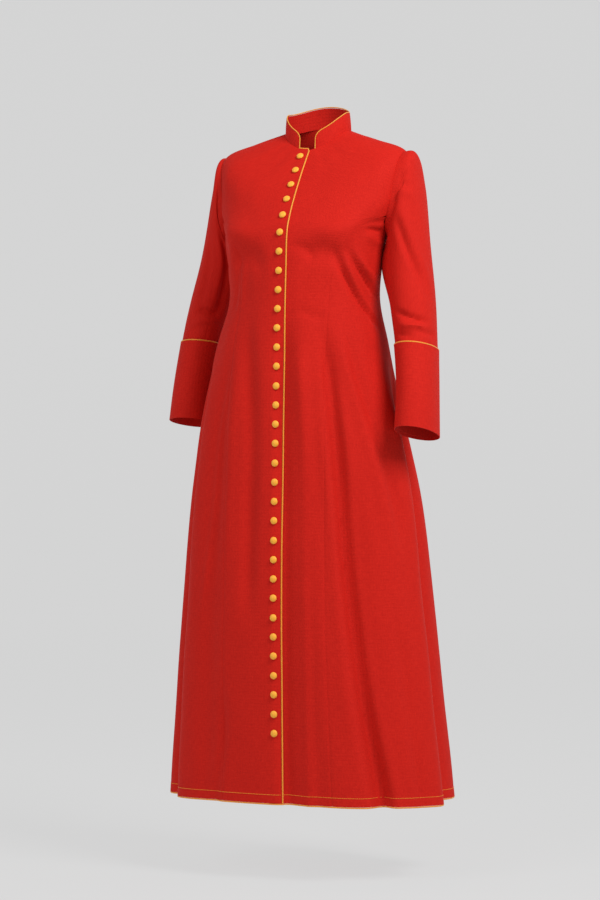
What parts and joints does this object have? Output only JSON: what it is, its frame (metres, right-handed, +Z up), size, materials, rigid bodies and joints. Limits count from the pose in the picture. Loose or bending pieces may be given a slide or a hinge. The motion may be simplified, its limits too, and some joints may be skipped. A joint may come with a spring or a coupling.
{
  "type": "cassock",
  "caption": "Worn scarlet cassock: fitted full-length gown with stand collar, buttoned front, deep cuffs and gold piping.",
  "frame": {"origin": "middle of the neck opening, between the shoulders that hold the garment up", "axes": "+Z up, the front faces -Y, +X is the wearer's left"},
  "size_m": [0.6231, 0.4173, 1.4118],
  "materials": {
    "red_wool": "matt scarlet wool cloth with a fine twill weave",
    "gold_cord": "thin gold cord piping with a soft sheen",
    "gold_button": "small domed buttons covered in golden yellow cloth"
  },
  "bodies": {
    "root": {"front_left_centre": "red_wool", "front_right_centre": "red_wool", "front_left_side": "red_wool", "front_right_side": "red_wool", "back_left_side": "red_wool", "back_right_side": "red_wool", "back_left_centre": "red_wool", "back_right_centre": "red_wool", "sleeve_left_top": "red_wool", "sleeve_left_under": "red_wool", "sleeve_right_top": "red_wool", "sleeve_right_under": "red_wool", "cuff_left": "red_wool", "cuff_right": "red_wool", "collar_stand": "red_wool", "piping_front": "gold_cord", "piping_collar": "gold_cord", "piping_cuff_left": "gold_cord", "piping_cuff_right": "gold_cord", "piping_hem_left": "gold_cord", "piping_hem_right": "gold_cord", "button_01": "gold_button", "button_02": "gold_button", "button_03": "gold_button", "button_04": "gold_button", "button_05": "gold_button", "button_06": "gold_button", "button_07": "gold_button", "button_08": "gold_button", "button_09": "gold_button", "button_10": "gold_button", "button_11": "gold_button", "button_12": "gold_button", "button_13": "gold_button", "button_14": "gold_button", "button_15": "gold_button", "button_16": "gold_button", "button_17": "gold_button", "button_18": "gold_button", "button_19": "gold_button", "button_20": "gold_button", "button_21": "gold_button", "button_22": "gold_button", "button_23": "gold_button", "button_24": "gold_button", "button_25": "gold_button", "button_26": "gold_button", "button_27": "gold_button", "button_28": "gold_button", "button_29": "gold_button", "button_30": "gold_button", "button_31": "gold_button", "button_32": "gold_button"}
  },
  "joints": []
}
